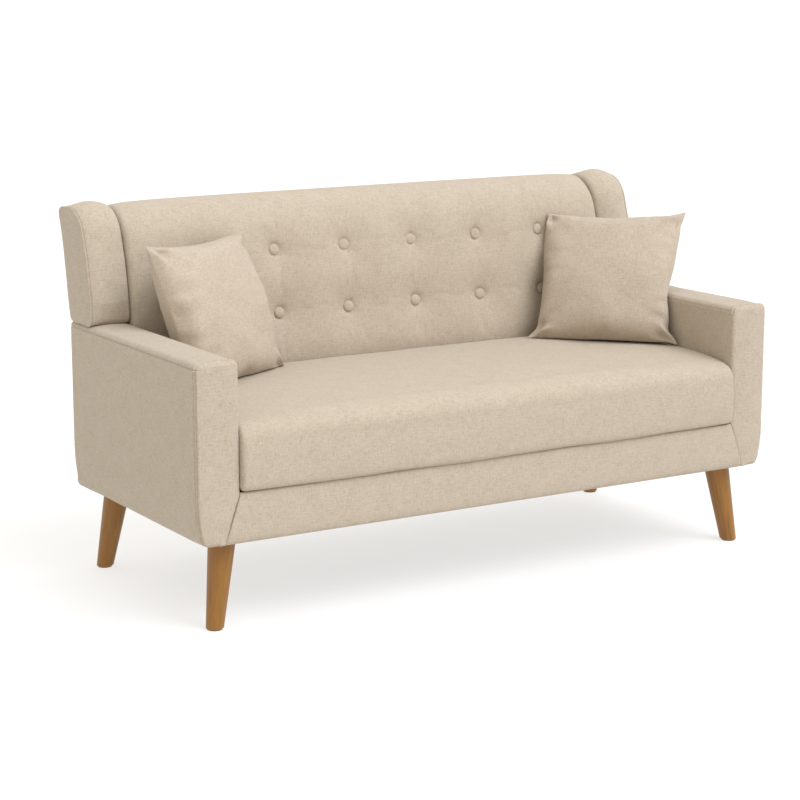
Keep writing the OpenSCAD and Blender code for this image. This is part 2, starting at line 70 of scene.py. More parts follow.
BUTTON_COLS = 6
CAD_BUTTON = 24 * MM          # across a button in the frame
BUTTON_PITCH = (BUTTON_HIGH.x - BUTTON_LOW.x - CAD_BUTTON) / (BUTTON_COLS - 1)
BUTTON_R = 13.6 * MM
BUTTON_SINK = -3.6 * MM       # how far the buttons' rims stand out of the leaning plane
BUTTON_DOME = 5.2 * MM
LEAN = math.radians(9.2)
FACE_FOOT = Vector((0, FRONT + 0.497, 0.456))   # where the back's front face starts to lean
BUTTON_ROWS = (0.119, 0.266)  # distance of each row up that face
SIDES = (("left", -1), ("right", 1))


# ---- outlines and meshes

def measured(pts):
    """The distance along a broken line to each of its points."""
    return np.concatenate([[0], np.cumsum(np.linalg.norm(np.diff(pts, axis=0), axis=1))])


def walk(line, at):
    """The points of a broken line at some distances along it."""
    along = measured(line)
    return np.stack([np.interp(at, along, line[:, k]) for k in range(2)], 1)


def nearest(line, point):
    """The number of a line's point that is nearest to a place."""
    return int(np.argmin(np.hypot(line[:, 0] - point[0], line[:, 1] - point[1])))


def spline(line, count):
    """A smooth line through some points, resampled to count points at even spacing."""
    pts = np.array(line, float)
    pts = np.vstack([2 * pts[0] - pts[1], pts, 2 * pts[-1] - pts[-2]])
    fine = []
    for i in range(1, len(pts) - 2):
        p0, p1, p2, p3 = pts[i - 1], pts[i], pts[i + 1], pts[i + 2]
        # Centripetal spacing keeps close points from overshooting.
        t1 = np.linalg.norm(p1 - p0) ** 0.5 + 1e-9
        t2 = t1 + np.linalg.norm(p2 - p1) ** 0.5 + 1e-9
        t3 = t2 + np.linalg.norm(p3 - p2) ** 0.5 + 1e-9
        for t in np.linspace(t1, t2, 24, endpoint=False):
            a1 = (t1 - t) / t1 * p0 + t / t1 * p1
            a2 = (t2 - t) / (t2 - t1) * p1 + (t - t1) / (t2 - t1) * p2
            a3 = (t3 - t) / (t3 - t2) * p2 + (t - t2) / (t3 - t2) * p3
            b1 = (t2 - t) / t2 * a1 + t / t2 * a2
            b2 = (t3 - t) / (t3 - t1) * a2 + (t - t1) / (t3 - t1) * a3
            fine.append((t2 - t) / (t2 - t1) * b1 + (t - t1) / (t2 - t1) * b2)
    fine.append(pts[-2])
    fine = np.array(fine)
    return walk(fine, np.linspace(0, measured(fine)[-1], count))


def arc(cx, cy, r, a0, a1, n):
    """Points of a circular arc, with its angles in degrees."""
    return [(cx + r * math.cos(math.radians(a)), cy + r * math.sin(math.radians(a)))
            for a in np.linspace(a0, a1, n)]


def inward(loop):
    """Unit normals of a closed anticlockwise loop, pointing into it."""
    step = np.roll(loop, -1, 0) - np.roll(loop, 1, 0)
    step /= np.linalg.norm(step, axis=1)[:, None] + 1e-12
    return np.stack([-step[:, 1], step[:, 0]], 1)


def new_object(name, verts, faces, uvs=None):
    """A smooth-shaded mesh object in the scene."""
    mesh = bpy.data.meshes.new(name)
    mesh.from_pydata([tuple(v) for v in verts], [], faces)
    if uvs is not None:
        layer = mesh.uv_layers.new(name="UVMap")
        layer.data.foreach_set("uv", np.asarray(uvs, np.float32).ravel())
    mesh.validate()
    mesh.shade_smooth()
    obj = bpy.data.objects.new(name, mesh)
    bpy.context.scene.collection.objects.link(obj)
    return obj


def spaced(length, count, dense):
    """Places from 0 to length, closer together round each (place, reach, weight) in dense."""
    fine = np.linspace(0, length, 4000)
    weight = np.ones_like(fine)
    for at, reach, more in dense:
        weight += more * bell(fine - at, reach)
    total = np.concatenate([[0], np.cumsum((weight[1:] + weight[:-1]) / 2)])
    return np.interp(np.linspace(0, total[-1], count), total, fine)


def stations(low, high, radius, count, dense=()):
    """Places along a padded form with rounded edges at both ends, and each one's inset."""
    length = high - low
    ends = ((0, radius, 5), (length, radius, 5))
    place = spaced(length, count, ends + tuple(dense))
    gap = np.minimum(np.minimum(place, length - place), radius)
    inset = radius - np.sqrt(np.maximum(radius ** 2 - (radius - gap) ** 2, 0))
    return low + place, inset


def resample(line, count, dense):
    """A broken line resampled to count points, closer together where dense says."""
    pts = np.array(line, float)
    along = measured(pts)
    marks = [(along[nearest(pts, point)], reach, more) for point, reach, more in dense]
    return walk(pts, spaced(along[-1], count, marks))


def two_sided(first, second, half, dense=()):
    """A closed loop from its foot up the first side to its head, and down the second side."""
    up = resample(first, half + 1, dense)
    down = resample(second, half + 1, dense)
    return np.vstack([up, down[1:-1]])


def padded_form(name, loop, place, inset, to_world, swell, puff=(0, 0), rows=8, stretch=None):
    """A closed upholstered form: a section swept along stations, with a panel at each end.

    loop is a closed anticlockwise section of an even number of points, whose first point is at
    the foot of the panel and whose middle point is at its head. swell(a, b, s, along) gives how
    far each point stands out: a, b and s are columns, the section's points and the distance round
    it, and along is a row. to_world takes (a, b, along) arrays to row-frame points. puff is how
    far each end panel is domed, and rows how many strips it has.
    """
    n, m = len(loop), len(place)
    normal = inward(loop)
    arc_at = measured(loop)
    a, b, along = loop[:, :1], loop[:, 1:], place[None, :]
    shift = inset[None, :] - swell(a, b, arc_at[:, None], along)
    a, b = a + normal[:, :1] * shift, b + normal[:, 1:] * shift
    along = np.repeat(along, n, 0)
    if stretch is not None:
        a, b, along = stretch(a, b, along)
    verts = [to_world(a, b, along).reshape(-1, 3)]
    faces, uvs = [], []

    def quad(ids, uv):
        kept, kept_uv = [], []
        for i, t in zip(ids, uv):
            if i not in kept:
                kept.append(i)
                kept_uv.append(t)
        if len(kept) > 2:
            faces.append(tuple(kept))
            uvs.extend(kept_uv)

    length = arc_at[-1] + np.linalg.norm(loop[0] - loop[-1])
    for i in range(n):
        k = (i + 1) % n
        s0, s1 = arc_at[i], arc_at[k] if k else length
        for j in range(m - 1):
            near, far = along[i, j], along[i, j + 1]
            quad((i * m + j, k * m + j, k * m + j + 1, i * m + j + 1),
                 ((near, s0), (near, s1), (far, s1), (far, s0)))
    total = n * m
    half = n // 2
    for end, j, sign in ((0, 0, -1), (1, m - 1, 1)):
        rings = (a[:, j], b[:, j], along[:, j])
        ids = {}
        extra = []

        def between(i, k):
            left, right, t = i % n, (n - i) % n, k / rows
            return [ring[left] * (1 - t) + ring[right] * t for ring in rings]

        for i in range(half + 1):
            for k in range(rows + 1):
                if k == 0 or i in (0, half):
                    ids[i, k] = i % n * m + j
                elif k == rows:
                    ids[i, k] = (n - i) % n * m + j
                else:
                    dome = (1 - abs(2 * k / rows - 1) ** 2.2) * (1 - abs(2 * i / half - 1) ** 6)
                    ids[i, k] = total + len(extra)
                    point = between(i, k)
                    point[2] += sign * puff[end] * dome
                    extra.append(point)
        table = np.array(extra)
        verts.append(to_world(table[:, 0], table[:, 1], table[:, 2]))

        for i in range(half):
            for k in range(rows):
                corners = ((i, k), (i, k + 1), (i + 1, k + 1), (i + 1, k))
                if end:
                    corners = corners[::-1]
                quad([ids[c] for c in corners], [between(*c)[:2] for c in corners])
        total += len(extra)
    obj = new_object(name, np.vstack(verts), faces, uvs)
    fix_normals(obj)
    return obj


@contextmanager
def editing(obj):
    """An object's mesh, opened to edit its faces."""
    bm = bmesh.new()
    bm.from_mesh(obj.data)
    yield bm
    bm.to_mesh(obj.data)
    bm.free()


def fix_normals(obj):
    """Turns every face outward."""
    with editing(obj) as bm:
        bmesh.ops.recalc_face_normals(bm, faces=bm.faces)


def bake_down(obj):
    """Turns an object's modifiers into its own mesh."""
    bpy.context.view_layer.update()
    shape = obj.evaluated_get(bpy.context.evaluated_depsgraph_get())
    mesh = bpy.data.meshes.new_from_object(shape, preserve_all_data_layers=True,
                                           depsgraph=bpy.context.evaluated_depsgraph_get())
    old, name = obj.data, obj.name
    obj.modifiers.clear()
    obj.data = mesh
    bpy.data.meshes.remove(old)
    mesh.name = name
    obj.data.shade_smooth()


def points(obj):
    """A mesh's points, one row each."""
    co = np.zeros(len(obj.data.vertices) * 3)
    obj.data.vertices.foreach_get("co", co)
    return co.reshape(-1, 3)


def set_points(obj, co):
    obj.data.vertices.foreach_set("co", np.ascontiguousarray(co, np.float32).ravel())
    obj.data.update()


def unit(x):
    """Values held between 0 and 1."""
    return np.clip(x, 0, 1)


def bell(dist, width):
    """A smooth bump: 1 at a place, fading with the distance from it."""
    return np.exp(-(dist / width) ** 2)


def wander(a, b, seed, size):
    """Smooth, repeatable unevenness from -1 to 1 over two arrays of places."""
    a, b = np.broadcast_arrays(a, b)
    flat = [noise.noise(Vector((x / size, y / size, seed)))
            for x, y in zip(a.ravel(), b.ravel())]
    return np.array(flat).reshape(a.shape)


# ---- materials

class Tree:
    """A material's node tree, with short ways to add to it."""

    def __init__(self, name):
        self.mat = bpy.data.materials.new(name)
        self.mat.use_nodes = True
        self.nodes, self.links = self.mat.node_tree.nodes, self.mat.node_tree.links
        self.shader = self.nodes["Principled BSDF"]

    def add(self, kind, inputs=None, **settings):
        node = self.nodes.new("ShaderNode" + kind)
        for key, value in settings.items():
            setattr(node, key, value)
        for key, value in (inputs or {}).items():
            self.put(node.inputs[key], value)
        return node

    def put(self, socket, value):
        if isinstance(value, bpy.types.NodeSocket):
            self.links.new(value, socket)
        else:
            socket.default_value = value

    def math(self, operation, a, b=0.0):
        return self.add("Math", {0: a, 1: b}, operation=operation).outputs[0]

    def noise(self, vector, scale, detail=2.0, rough=0.5):
        sockets = {"Vector": vector, "Scale": scale, "Detail": detail, "Roughness": rough}
        return self.add("TexNoise", sockets).outputs["Fac"]

    def stretch(self, vector, scale, turn=(0, 0, 0)):
        return self.add("Mapping", {"Vector": vector, "Scale": scale, "Rotation": turn}).outputs[0]

    def span(self, value, low, high, to_low=0.0, to_high=1.0):
        sockets = {0: value, 1: low, 2: high, 3: to_low, 4: to_high}
        return self.add("MapRange", sockets).outputs[0]

    def blend(self, factor, a, b, mode="MIX"):
        node = self.add("Mix", data_type="RGBA", blend_type=mode)
        for socket, value in ((node.inputs[0], factor), (node.inputs[6], a), (node.inputs[7], b)):
            self.put(socket, value)
        return node.outputs[2]

    def bump(self, height, distance, strength=1.0):
        sockets = {"Height": height, "Distance": distance, "Strength": strength}
        return self.add("Bump", sockets).outputs[0]

    def finish(self, colour, rough, normal=None, **fixed):
        self.put(self.shader.inputs["Base Color"], colour)
        self.put(self.shader.inputs["Roughness"], rough)
        if normal is not None:
            self.put(self.shader.inputs["Normal"], normal)
        for key, value in fixed.items():
            self.shader.inputs[key.replace("_", " ")].default_value = value
        return self.mat


def srgb(code):
    """A hex colour as linear RGBA."""
    parts = [int(code[i:i + 2], 16) / 255 for i in (1, 3, 5)]
    return [x / 12.92 if x <= 0.04045 else ((x + 0.055) / 1.055) ** 2.4 for x in parts] + [1.0]


YARN = 1.25 * MM              # pitch of the upholstery's yarns
YARN_DRIFT = 1.2 * MM         # how far they stray from straight


def woven(name, light, mid, dark, contrast):
    """Heathered plain weave, in the piece's own UVs, which are in metres."""
    t = Tree(name)
    uv = t.add("TexCoord").outputs["UV"]
    wobble = t.noise(uv, 90.0, 2.0)
    nudge = t.add("CombineXYZ", {0: t.math("MULTIPLY", wobble, YARN_DRIFT),
                                 1: t.math("MULTIPLY", wobble, -YARN_DRIFT)}).outputs[0]
    place = t.add("VectorMath", {0: uv, 1: nudge}, operation="ADD").outputs[0]
    # Slubs: short thick stretches of yarn that run along the warp or along the weft.
    warp = t.noise(t.stretch(place, (620, 95, 1)), 1.0, 2.0, 0.6)
    weft = t.noise(t.stretch(place, (88, 580, 1)), 1.0, 2.0, 0.6)
    warp_long = t.noise(t.stretch(place, (300, 42, 1)), 1.0, 2.0)
    weft_long = t.noise(t.stretch(place, (38, 280, 1)), 1.0, 2.0)
    fleck = t.noise(place, 480.0, 3.0, 0.65)
    cloud = t.noise(place, 24.0, 2.0)
    tone = 0.5
    for part, weight in ((warp, 0.9), (weft, 0.9), (warp_long, 0.55), (weft_long, 0.55),
                         (fleck, 1.1), (cloud, 0.28)):
        stray = t.math("SUBTRACT", part, 0.5)
        tone = t.math("ADD", tone, t.math("MULTIPLY", stray, weight * contrast))
    ramp = t.add("ValToRGB", {"Fac": tone})
    low, high = ramp.color_ramp.elements
    low.position, low.color = 0.05, srgb(dark)
    high.position, high.color = 0.95, srgb(light)
    middle = ramp.color_ramp.elements.new(0.5)
    middle.color = srgb(mid)
    # Plain weave: each yarn goes over and under its neighbours.
    split = t.add("SeparateXYZ", {0: place})
    turn = math.pi / YARN
    across = t.math("SINE", t.math("MULTIPLY", split.outputs[0], turn))
    down = t.math("SINE", t.math("MULTIPLY", split.outputs[1], turn))
    weave = t.math("MULTIPLY", across, down)
    height = t.math("ADD", t.math("MULTIPLY", weave, 0.5), t.math("MULTIPLY", fleck, 0.9))
    height = t.math("ADD", height, t.math("ADD", warp, weft))
    # Painted shade and highlight: the colour is darkened where the yarns dip under and lightened
    # where they rise over.
    shade = t.span(weave, -1.0, 1.0, 0.93, 1.05)
    grey = t.add("CombineColor", {0: shade, 1: shade, 2: shade}).outputs[0]
    colour = t.blend(1.0, ramp.outputs[0], grey, "MULTIPLY")
    rough = t.span(fleck, 0.3, 0.7, 0.86, 0.98)
    return t.finish(colour, rough, t.bump(height, 0.35 * MM, 0.9),
                    Specular_IOR_Level=0.25, Sheen_Weight=0.12, Sheen_Roughness=0.5)


def wood(name, light, dark, coat, turn=(0, 0, 0), ring=120.0, rough=(0.34, 0.5)):
    """Straight-grained wood whose grain runs along Z, turned to follow the piece."""
    t = Tree(name)
    place = t.stretch(t.add("TexCoord").outputs["Object"], (1, 1, 1), turn)
    warp = t.noise(t.stretch(place, (9, 9, 2.5)), 1.0, 2.0)
    grain = t.noise(t.stretch(place, (ring, ring, 3.2)), 1.0, 4.0, 0.6)
    pores = t.noise(t.stretch(place, (900, 900, 28)), 1.0, 2.0)
    bands = t.math("FRACT", t.math("MULTIPLY", t.math("ADD", grain, warp), 3.0))
    tone = t.math("ADD", t.math("MULTIPLY", bands, 0.18), t.math("MULTIPLY", grain, 0.82))
    colour = t.blend(t.span(tone, 0.2, 0.8), srgb(dark), srgb(light))
    colour = t.blend(t.span(pores, 0.55, 0.75, 0.0, 0.35), colour, srgb(dark))
    height = t.math("SUBTRACT", grain, t.span(pores, 0.55, 0.75))
    return t.finish(colour, t.span(grain, 0.3, 0.7, *rough), t.bump(height, 0.12 * MM, 0.5),
                    Coat_Weight=coat, Coat_Roughness=0.3)


def speckled(name, light, dark, scale, rough, depth, **fixed):
    """Metal, foam, felt or plastic with its own fine mottling."""
    t = Tree(name)
    place = t.add("TexCoord").outputs["Object"]
    fine, broad = t.noise(place, scale, 4.0, 0.65), t.noise(place, scale / 12, 2.0)
    tone = t.math("ADD", t.math("MULTIPLY", fine, 0.7), t.math("MULTIPLY", broad, 0.3))
    colour = t.blend(t.span(tone, 0.3, 0.7), srgb(dark), srgb(light))
    return t.finish(colour, t.span(fine, 0.3, 0.7, *rough), t.bump(fine, depth), **fixed)


upholstery = woven("upholstery", "#C7BAA8", "#B3A592", "#968773", 0.62)
pillow_cloth = woven("pillow_cloth", "#C9BCAA", "#B5A693", "#978873", 0.62)
timber = wood("frame_timber", "#D9B98A", "#B8925E", 0.0, ring=60.0, rough=(0.6, 0.8))
foam = speckled("foam", "#F3E8BE", "#DFCF98", 900, (0.85, 0.98), 0.3 * MM)
felt = speckled("felt", "#A39D93", "#6F6A62", 700, (0.9, 1.0), 0.4 * MM)
webbing = speckled("webbing", "#6B6358", "#453F36", 1200, (0.8, 0.95), 0.2 * MM)
dust_cloth = speckled("dust_cloth", "#35353A", "#1B1B1E", 1500, (0.85, 0.98), 0.15 * MM)
steel = speckled("steel", "#B9BDC2", "#8E9399", 600, (0.28, 0.45), 0.05 * MM, Metallic=1.0)
glide = speckled("glide", "#7A5A36", "#5B4024", 900, (0.5, 0.7), 0.08 * MM)
pillow_fill = speckled("pillow_fill", "#F7F5F1", "#DEDBD4", 500, (0.9, 1.0), 0.5 * MM)


def dress(obj, material):
    """Gives an object one material."""
    obj.data.materials.clear()
    obj.data.materials.append(material)


SLOT_LOOKS = {"frame_timber": timber, "foam": foam, "felt": felt, "webbing": webbing,
              "steel": steel, "glide_plastic": glide, "dust_cloth": dust_cloth,
              "pillow_fill": pillow_fill, "fabric": upholstery, "pillow_fabric": pillow_cloth}
for part in frame["record"]["subparts"]:
    look = SLOT_LOOKS.get(part["material_slot"])
    if look:
        dress(frame["nodes"][part["node"]], look)

LEG_LENGTH = 190 * MM
LEG_SPLAY = (math.atan(30 * MM / LEG_LENGTH), math.atan(19 * MM / LEG_LENGTH))  # out, fore or aft
for end, fore in (("front", -1), ("rear", 1)):
    for side, sign in SIDES:
        turn = (-fore * LEG_SPLAY[1], sign * LEG_SPLAY[0], 0)
        look = wood(f"leg_wood_{end}_{side}", "#98681E", "#70460F", 0.06, turn)
        dress(frame["nodes"][f"leg_{end}_{side}"], look)


# ---- upholstery

def place_yz(a, b, along):
    """Section in (Y, Z), Y from the arms' front plane, swept along X."""
    return np.stack([along, FRONT + a, b], -1)


def stand_for(obj, material, body, nodes):
    """Dresses a piece, puts it under its body, and hides the CAD nodes that it replaces."""
    dress(obj, material)
    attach(obj, body)
    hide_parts(*nodes)


def upholster(obj, nodes):
    """The same for a padded piece of the sofa itself."""
    stand_for(obj, upholstery, "root", nodes)


def make_seat():
    """A tight bench seat with a waterfall front and a soft crown."""
    rear = [(0.25, 0.3014), (0.470, 0.303), (0.492, 0.310), (0.4945, 0.330), (0.4945, 0.438),
            (0.490, 0.450), (0.478, 0.4565), (0.44, 0.4575), (0.25, 0.4575)]
    nose = spline([(0.25, 0.4575), (0.162, 0.457), (0.124, 0.4555), (0.086, 0.453),
                   (0.048, 0.449), (0.022, 0.444), (0.004, 0.436), (-0.008, 0.422),
                   (-0.0125, 0.397), (-0.0135, 0.361), (-0.0128, 0.332), (-0.0115, 0.316),
                   (-0.0085, 0.3065), (-0.002, 0.3022), (0.006, 0.3014), (0.25, 0.3014)], 260)
    loop = two_sided(rear, nose, 150, [((-0.0095, 0.314), 0.02, 4)])
    reach = ARM_IN - 0.5 * MM
    place, inset = stations(-reach, reach, radius=0.010, count=190)

    def swell(y, z, s, along):
        across = unit(np.abs(along) / reach)
        crown = 0.0065 * (1 - across ** 3.2) * unit((z - 0.40) / 0.05)
        nose_push = 0.003 * (1 - across ** 4) * (y < 0.05)
        rough = wander(s, along, 3.1, 0.16) * 0.0022
        rough += wander(s, along, 7.7, 0.055) * 0.0006
        return crown + nose_push + rough * (1 - across ** 8)

    seat = padded_form("seat_upholstery", loop, place, inset, place_yz, swell,
                       puff=(0.001, 0.001))
    upholster(seat, ("seat_cover", "seat_foam"))


make_seat()


BAND_GAP = 0.4 * MM           # between the front band and each arm


def band_half(z):
    """Half width of the front band: it widens below the seat's seam."""
    top, bottom = ARM_IN, BAND_FOOT
    return top + (bottom - top) * unit((SEAM - z) / (SEAM - BASE))


def make_band():
    """The upholstered board under the seat's front edge."""
    back = [(0.006, 0.1905), (0.0115, 0.191), (0.0118, 0.298), (0.006, 0.3)]
    face = spline([(0.006, 0.3), (0.001, 0.2995), (-0.0012, 0.296), (-0.0028, 0.280),
                   (-0.0036, 0.245), (-0.003, 0.214), (-0.0014, 0.200), (0.001, 0.194),
                   (0.006, 0.1905)], 120)
    loop = two_sided(back, face, 40)
    reach = ARM_IN - BAND_GAP
    place, inset = stations(-reach, reach, radius=0.0025, count=220)

    def widen(a, b, along):
        return a, b, along * (band_half(b) - BAND_GAP) / reach

    def swell(y, z, s, along):
        return wander(s, along, 1.3, 0.13) * 0.0010 * (y < 0.001)

    band = padded_form("front_band_upholstery", loop, place, inset * 0.9, place_yz, swell,
                       stretch=widen)
    upholster(band, ("front_band",))


make_band()


ARM_MIDDLE = 0.7015           # the middle of an arm's width
ARM_SEAM = 0.5665             # height of the seam along the top of an arm's side
ARM_FRONT_SEAM = 5.5 * MM     # from an arm's front to the seam round it
ARM_STITCHES = 13 * MM        # from an arm's front to its side's topstitching
WING_WELT = 1.2 * MM          # from a wing's outer side to the middle of its welt
WING_SEAM = 4.2 * MM          # from a wing's outer side to the seam beside the welt


def arm_sides():
    """An arm's outer side and inner side in (X, Z), each between the foot and the head."""
    corner = 0.012
    outer = spline([(0.7025, 0.1905), (0.716, 0.1907), (0.7255, 0.1912), (0.7325, 0.1935),
                    (0.7372, 0.1985), (0.7406, 0.2062), (0.7436, 0.218), (0.7468, 0.238),
                    (0.749, 0.262), (ARM_OUT, 0.287)], 70).tolist()
    outer += [(ARM_OUT, z) for z in np.linspace(0.30, 0.560, 30)]
    outer += arc(ARM_OUT - corner, ARM_TOP - corner, corner, 0, 82, 8)
    outer += [(0.722, ARM_TOP + 0.0006), (ARM_MIDDLE, ARM_TOP + 0.001)]
    inner = [(ARM_MIDDLE, ARM_TOP + 0.001), (0.681, ARM_TOP + 0.0006)]
    inner += arc(ARM_IN + corner, ARM_TOP - corner, corner, 98, 180, 8)
    inner += [(ARM_IN, z) for z in np.linspace(0.560, SEAM, 30)]
    inner += [(ARM_IN + 0.0365 * t, SEAM + (BASE + 0.0008 - SEAM) * t)
              for t in np.linspace(0.05, 1, 12)]
    inner += [(0.7025, 0.1905)]
    return outer, inner


def make_arm(side, sign):
    """An arm, swept from its front face to the rear, with its seams and topstitching."""
    outer, inner = arm_sides()
    side_seam, inner_seam = (ARM_OUT, ARM_SEAM), (ARM_IN, ARM_SEAM)
    marks = [(side_seam, 0.008, 5), (inner_seam, 0.008, 5)]
    loop = two_sided(outer, inner, 150, marks)
    length = REAR - FRONT
    place, inset = stations(0, length, 0.008, 140, [(0.009, 0.010, 11)])

    def to_world(a, b, along):
        return np.stack([sign * a, FRONT + along, b], -1)

    def swell(x, z, s, along):
        ends = unit(along / 0.05) * unit((length - along) / 0.05)
        out = 0.0012 * unit(np.minimum(z - 0.22, 0.56 - z) / 0.05) * ends
        off_middle = (x - ARM_MIDDLE) / 0.045
        top = unit(1 - np.abs(off_middle)) * (z > 0.5)
        out += 0.0028 * np.sqrt(top) * (0.5 + 0.5 * ends)
        where = along + 5 * sign                # so that the two arms differ
        out += wander(s, where, 2.2, 0.12) * 0.0013 * ends
        out += wander(s, where, 8.2, 0.04) * 0.0004
        # The lower outer corner is sharper toward the rear.
        out += 0.0048 * bell(np.hypot(x - 0.7365, z - 0.203), 0.012) * (along / length)
        # Where the arm meets the front band, its front edge is nearly square.
        out += 0.75 * (x < 0.70) * unit((SEAM + 0.006 - z) / 0.012) * inset
        # Seams: along the top of each side, and round the front face with its topstitching.
        for seam in (side_seam, inner_seam):
            at = s[nearest(loop, seam)]
            toward = 1 if seam == inner_seam else -1
            deep = 0.0021 if seam == side_seam else 0.0007
            out -= deep * bell(s - at, 0.0015)
            out += 0.0006 * bell(s - at - toward * 0.0045, 0.003)
        above = z > 0.562
        outside = (x > 0.70) & ~above
        bowed = 0.0070 * unit(1 - off_middle ** 2) * above
        out -= 0.0030 * bell(along - ARM_FRONT_SEAM - bowed, 0.0016) * (outside | above)
        out += 0.0015 * bell(along - 0.0090 - bowed, 0.0022) * above
        out += wander(s, along * 0, 5.5 + sign, 0.012) * 0.0008 * (along < 0.02)
        return out - 0.0023 * bell(along - ARM_STITCHES, 0.0020) * outside

    arm = padded_form(f"arm_{side}_upholstery", loop, place, inset, to_world, swell,
                      puff=(0.0025, 0.001), rows=14)
    upholster(arm, (f"arm_cover_{side}", f"arm_pad_{side}"))


for side, sign in SIDES:
    make_arm(side, sign)


def make_wing(side, sign):
    """A wing on top of an arm, swept across its width, with a welt round its outer edge."""
    rear = spline([(0.585, 0.5795), (0.625, 0.5795), (0.638, 0.584), (0.6435, 0.598),
                   (0.649, 0.625), (0.660, 0.69), (0.673, 0.757), (0.684, 0.797), (0.690, 0.815),
                   (0.687, 0.827), (0.672, 0.833), (0.634, 0.834)], 150)
    fore = spline([(0.634, 0.834), (0.604, 0.827), (0.583, 0.813), (0.567, 0.791), (0.556, 0.759),
                   (0.545, 0.722), (0.537, 0.683), (0.530, 0.639), (0.526, 0.605),
                   (0.5265, 0.590), (0.532, 0.582), (0.546, 0.5795), (0.585, 0.5795)], 170)
    loop = two_sided(rear, fore, 120)
    inner, outer = ARM_IN + 0.0005, ARM_OUT
    place, inset = stations(inner, outer, 0.0085, 70, [(outer - inner - 0.003, 0.006, 9)])
    middle, half = (inner + outer) / 2, (outer - inner) / 2
    # The outer edge is crisp.
    inset = np.where(place > middle, np.maximum(inset - 0.0055, 0) * 1.3, inset)

    def to_world(a, b, along):
        return np.stack([sign * along, FRONT + a, b], -1)

    def swell(y, z, s, along):
        round_over = 1 - unit(np.abs(along - middle) / half) ** 2.2
        lifted = unit((z - 0.585) / 0.045)
        ahead = unit((0.670 - y) / 0.03)
        out = 0.0130 * round_over * (lifted * (0.25 + 0.75 * ahead))
        out += wander(s, along + 3 * sign, 4.4, 0.07) * 0.0013 * round_over
        # A self welt runs round the side panel, with its seam beside it.
        out += 0.0014 * bell(along - (outer - WING_WELT), 0.0011)
        return out - 0.0017 * bell(along - (outer - WING_SEAM), 0.0013)

    wing = padded_form(f"wing_{side}_upholstery", loop, place, inset, to_world, swell,
                       puff=(0.0008, 0.0022), rows=14)
    upholster(wing, (f"wing_cover_{side}", f"wing_foam_{side}"))


for side, sign in SIDES:
    make_wing(side, sign)


# ---- tufted back

def face_point(x, up, out):
    """A point on the back's leaning face: up its slope from the foot, out towards the sitter."""
    y = FACE_FOOT.y + up * math.sin(LEAN) - out * math.cos(LEAN)
    z = FACE_FOOT.z + up * math.cos(LEAN) + out * math.sin(LEAN)
    return Vector((x, y, z))


BUTTONS = [((i - (BUTTON_COLS - 1) / 2) * BUTTON_PITCH, row)
           for row in BUTTON_ROWS for i in range(BUTTON_COLS)]


def run_cloth(obj, cloth, frames):
    """Runs a cloth simulation, and leaves its result as the object's own mesh."""
    cloth.collision_settings.use_collision = False
    cloth.point_cache.frame_start, cloth.point_cache.frame_end = 1, frames
    for f in range(1, frames + 1):
        bpy.context.scene.frame_set(f)
    bake_down(obj)
    bpy.context.scene.frame_set(1)


def taut_sheet(width, length, step, pins, sink, pull, slack, frames):
    """Cover cloth held along its border and by round pins, let out over foam by cloth simulation.

    Returns the places across, the places up, and how far the cloth stands out at each.
    """
    nx, ny = round(width / step), round(length / step)
    xs, ys = np.linspace(-width / 2, width / 2, nx + 1), np.linspace(0, length, ny + 1)
    gx, gy = np.meshgrid(xs, ys)
    down = np.zeros_like(gx)
    held = (gx <= xs[0]) | (gx >= xs[-1]) | (gy <= ys[0]) | (gy >= ys[-1])
    for px, py, r in pins:
        gap = np.hypot(gx - px, gy - py)
        down = np.maximum(down, sink * bell(np.maximum(gap - r, 0), 0.012))
        held |= gap <= r
    first = np.arange(ny)[:, None] * (nx + 1) + np.arange(nx)
    faces = [(k, k + 1, k + nx + 2, k + nx + 1) for k in first.ravel().tolist()]
    obj = new_object("taut_sheet", np.stack([gx, gy, down], -1).reshape(-1, 3), faces)
    group = obj.vertex_groups.new(name="held")
    group.add([int(k) for k in np.flatnonzero(held.ravel())], 1.0, "REPLACE")
    cloth = obj.modifiers.new("pull", "CLOTH")
    s = cloth.settings
    s.vertex_group_mass = "held"
    s.quality, s.mass, s.air_damping = 6, 0.3, 5.0
    s.tension_stiffness, s.compression_stiffness, s.shear_stiffness = 25, 12.5, 10
    s.bending_stiffness = 0.12
    s.tension_damping = s.compression_damping = s.shear_damping = 10
    s.shrink_min, s.effector_weights.gravity = -slack, pull
    run_cloth(obj, cloth, frames)
    stands = -points(obj)[:, 2].reshape(ny + 1, nx + 1)
    mesh = obj.data
    bpy.data.objects.remove(obj)
    bpy.data.meshes.remove(mesh)
    return xs, ys, stands


def blended(sheet, x, y):
    """How far a sheet stands out at places between its grid's points."""
    xs, ys, stands = sheet
    fx = np.clip((x - xs[0]) / (xs[1] - xs[0]), 0, len(xs) - 1.001)
    fy = np.clip((y - ys[0]) / (ys[1] - ys[0]), 0, len(ys) - 1.001)
    fx, fy = np.broadcast_arrays(fx, fy)
    i, j = fx.astype(int), fy.astype(int)
    wide = np.pad(stands, ((1, 2), (1, 2)), "edge")

    def weights(t):
        return ((1 - t) ** 3 / 6, (3 * t ** 3 - 6 * t ** 2 + 4) / 6,
                (-3 * t ** 3 + 3 * t ** 2 + 3 * t + 1) / 6, t ** 3 / 6)

    total = np.zeros(fx.shape)
    for b, wy in enumerate(weights(fy - j)):
        for a, wx in enumerate(weights(fx - i)):
            total += wx * wy * wide[j + b, i + a]
    return total


